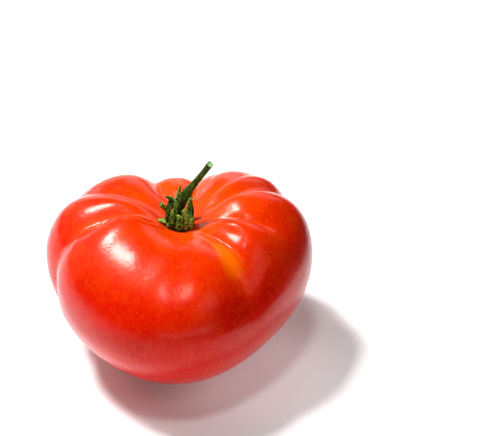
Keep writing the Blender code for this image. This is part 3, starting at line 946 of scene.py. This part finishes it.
def hair_tree():
    """Short tapering hairs standing on a surface."""
    inputs = [("Geometry", "NodeSocketGeometry"), ("Density", FLOAT), ("Length", FLOAT),
              ("Thickness", FLOAT), ("Seed", "NodeSocketInt"), ("Hair", "NodeSocketMaterial")]
    tree, given, result = new_rule("plant_hairs", inputs, [("Geometry", "NodeSocketGeometry")])
    spread = tree.nodes.new("GeometryNodeDistributePointsOnFaces")
    put(tree, spread.inputs["Mesh"], given["Geometry"])
    put(tree, spread.inputs["Density"], given["Density"])
    put(tree, spread.inputs["Seed"], given["Seed"])
    cone = tree.nodes.new("GeometryNodeMeshCone")
    cone.inputs["Vertices"].default_value = 3
    put(tree, cone.inputs["Radius Bottom"], given["Thickness"])
    put(tree, cone.inputs["Radius Top"], calc(tree, "MULTIPLY", given["Thickness"], 0.15))
    put(tree, cone.inputs["Depth"], given["Length"])
    tilt = tree.nodes.new("FunctionNodeRandomValue")
    tilt.data_type = "FLOAT_VECTOR"
    tilt.inputs[0].default_value = (-0.45, -0.45, 0.0)
    tilt.inputs[1].default_value = (0.45, 0.45, 6.28)
    put(tree, tilt.inputs["Seed"], given["Seed"])
    size = tree.nodes.new("FunctionNodeRandomValue")
    size.data_type = "FLOAT"
    size.inputs[2].default_value = 0.45
    size.inputs[3].default_value = 1.0
    put(tree, size.inputs["Seed"], calc(tree, "ADD", given["Seed"], 7.0))
    turn = tree.nodes.new("FunctionNodeRotateRotation")
    turn.rotation_space = "LOCAL"
    put(tree, turn.inputs["Rotation"], spread.outputs["Rotation"])
    put(tree, turn.inputs["Rotate By"], tilt.outputs[0])
    place = tree.nodes.new("GeometryNodeInstanceOnPoints")
    put(tree, place.inputs["Points"], spread.outputs["Points"])
    put(tree, place.inputs["Instance"], cone.outputs["Mesh"])
    put(tree, place.inputs["Rotation"], turn.outputs[0])
    put(tree, place.inputs["Scale"], size.outputs[1])
    whole = tree.nodes.new("GeometryNodeRealizeInstances")
    put(tree, whole.inputs[0], place.outputs[0])
    finish = tree.nodes.new("GeometryNodeSetMaterial")
    put(tree, finish.inputs["Geometry"], whole.outputs[0])
    put(tree, finish.inputs["Material"], given["Hair"])
    put(tree, result["Geometry"], finish.outputs[0])
    return tree


def build_hairs(carrier, name, density, length, seed, tree, material):
    item = new_object(name, carrier.data.copy())
    values = {"Density": density, "Length": length, "Thickness": 0.00004, "Seed": seed, "Hair": material}
    grow(item, tree, values)
    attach(item, "root")
    return item


# Floor, light and camera

def build_floor():
    form = bmesh.new()
    bmesh.ops.create_grid(form, x_segments=1, y_segments=1, size=3.0)
    for vertex in form.verts:
        vertex.co.z = -0.0002
    floor = new_object("floor", smooth_mesh(form, "floor", [floor_material()]))


def soft_light(name, direction, distance, size, power, target=(0.0, 0.0, 0.04)):
    light = bpy.data.lights.new(name, "AREA")
    light.shape = "RECTANGLE"
    light.size, light.size_y = size
    light.energy = power
    item = bpy.data.objects.new(name, light)
    bpy.context.scene.collection.objects.link(item)
    away = Vector(direction).normalized()
    item.location = Vector(target) + away * distance
    item.rotation_euler = (-away).to_track_quat("-Z", "Y").to_euler()


def build_light():
    soft_light("key_light", (-0.41, 0.17, 0.90), 1.2, (0.26, 0.26), 22.0)
    soft_light("key_halo", (-0.41, 0.17, 0.90), 1.25, (0.9, 0.9), 2.6)
    soft_light("second_light", (-0.02, -0.27, 0.96), 1.2, (0.18, 0.18), 3.1)
    soft_light("left_panel", (-0.76, 0.42, 0.50), 1.1, (1.2, 0.9), 1.9)
    soft_light("front_card", (0.30, -0.94, 0.095), 0.9, (1.2, 0.20), 1.7)
    soft_light("back_panel", (0.20, 0.85, 0.45), 1.2, (0.8, 0.6), 1.9)
    soft_light("low_strip", (-0.28, 0.94, 0.17), 1.2, (1.0, 0.24), 1.0)
    soft_light("right_fill", (0.62, -0.42, 0.66), 1.1, (0.6, 0.5), 1.3)
    world = bpy.data.worlds.new("studio")
    bpy.context.scene.world = world
    world.use_nodes = True
    world.node_tree.nodes["Background"].inputs["Color"].default_value = (0.92, 1.0, 1.02, 1.0)
    world.node_tree.nodes["Background"].inputs["Strength"].default_value = 0.02
    bpy.context.scene.view_settings.view_transform = "Standard"


def build_camera():
    """The photograph's view: the aim point falls on its pixel."""
    slope = math.radians(CAMERA_ELEVATION)
    back = Vector((0.0, -math.cos(slope), math.sin(slope)))
    right = Vector((1.0, 0.0, 0.0))
    up = back.cross(right)
    aside = (AIM_PIXEL[0] - IMAGE_WIDTH / 2) / FOCAL_PIXELS
    below = (AIM_PIXEL[1] - IMAGE_HEIGHT / 2) / FOCAL_PIXELS
    place = STEM_AXIS + Vector((0.0, 0.0, AIM_HEIGHT)) + (back - right * aside + up * below) * CAMERA_DISTANCE
    lens = bpy.data.cameras.new("camera")
    lens.sensor_fit = "HORIZONTAL"
    lens.sensor_width = 36.0
    lens.lens = FOCAL_PIXELS / IMAGE_WIDTH * lens.sensor_width
    lens.clip_start = 0.01
    item = bpy.data.objects.new("camera", lens)
    bpy.context.scene.collection.objects.link(item)
    axes = Matrix((right, up, back)).transposed().to_4x4()
    item.matrix_world = Matrix.Translation(place) @ axes
    bpy.context.scene.camera = item


def main():
    build_camera()
    build_floor()
    build_light()
    build_fruit()
    leaf = leaf_material("dry_leaf", (0.001, 0.007, 0.0), (0.032, 0.108, 0.001), (0.33, 0.56, 0.08))
    calyx = build_calyx(leaf)
    stalk = build_stalk(stalk_material())
    hairs = hair_tree()
    down = hair_material()
    build_hairs(stalk, "stalk_hairs", 2.2e6, 0.0005, 4, hairs, down)
    build_hairs(calyx, "calyx_hairs", 0.9e6, 0.0004, 9, hairs, down)


main()
